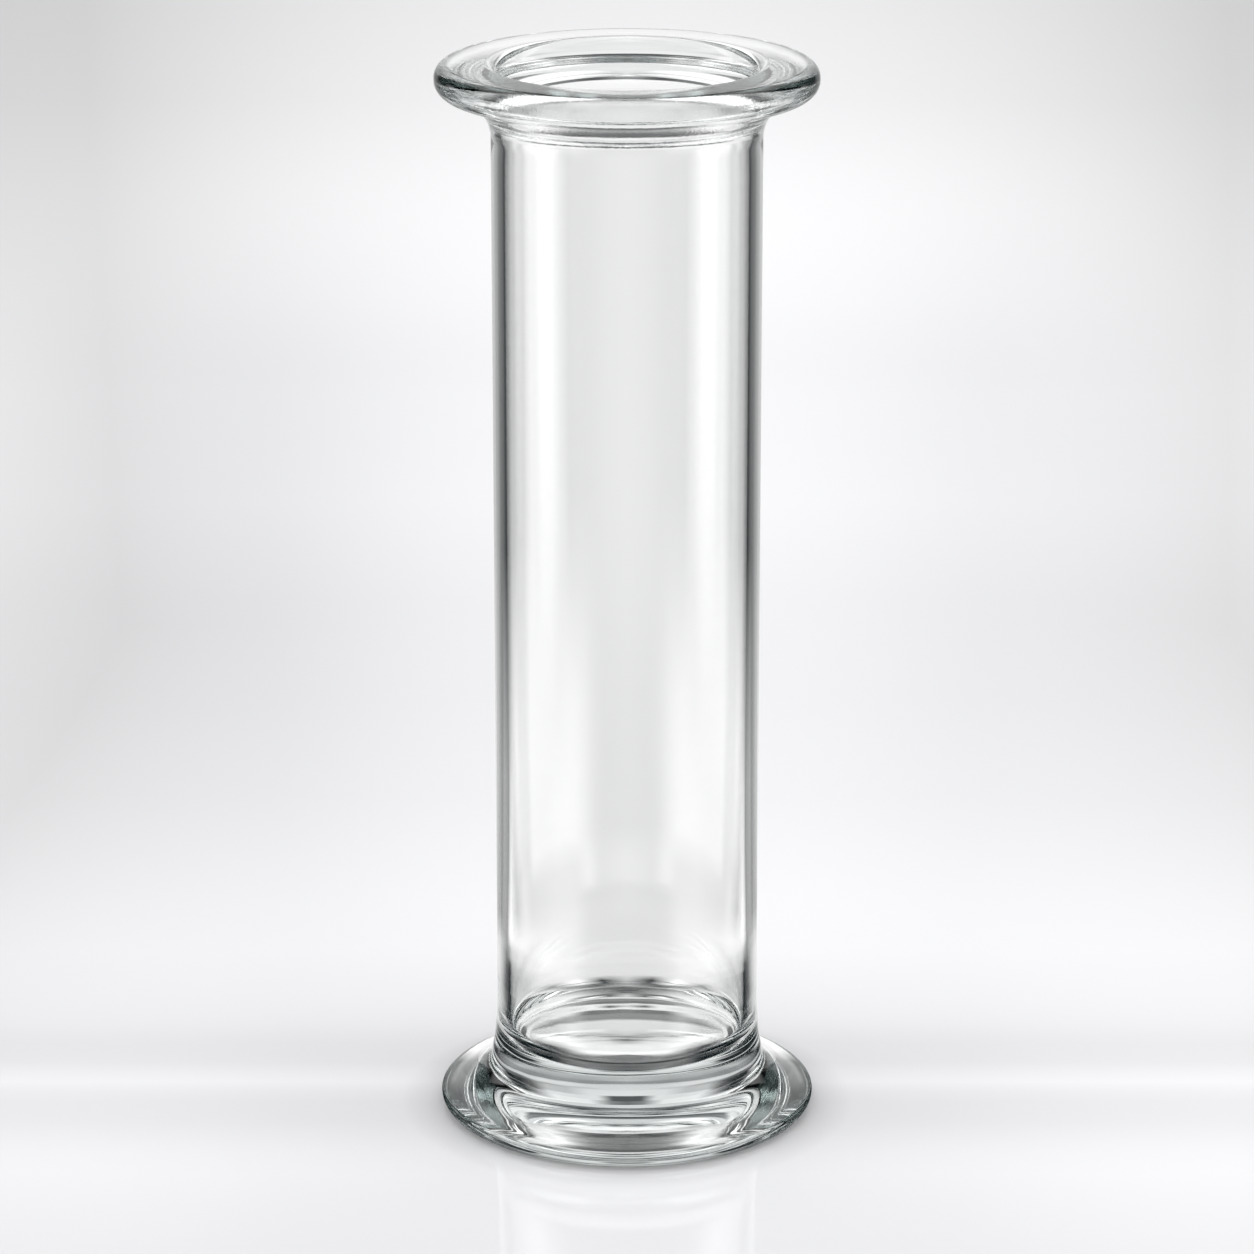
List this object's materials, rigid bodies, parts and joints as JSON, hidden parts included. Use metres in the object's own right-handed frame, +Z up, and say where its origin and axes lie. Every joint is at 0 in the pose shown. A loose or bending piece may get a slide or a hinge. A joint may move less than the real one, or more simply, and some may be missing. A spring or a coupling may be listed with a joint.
{
  "type": "gas jar",
  "caption": "Tall straight clear glass jar with a flat-topped rounded flange round its mouth, a solid dished floor and a broad round foot with a thin rounded edge.",
  "frame": {"origin": "centre of the standing ring, on the surface the jar stands on", "axes": "+Z up the jar's axis, from the foot to the mouth"},
  "size_m": [0.0705, 0.0704, 0.2],
  "materials": {
    "clear_glass": "clear soda-lime glass, fire-polished"
  },
  "bodies": {
    "root": {"jar": "clear_glass"}
  },
  "joints": []
}
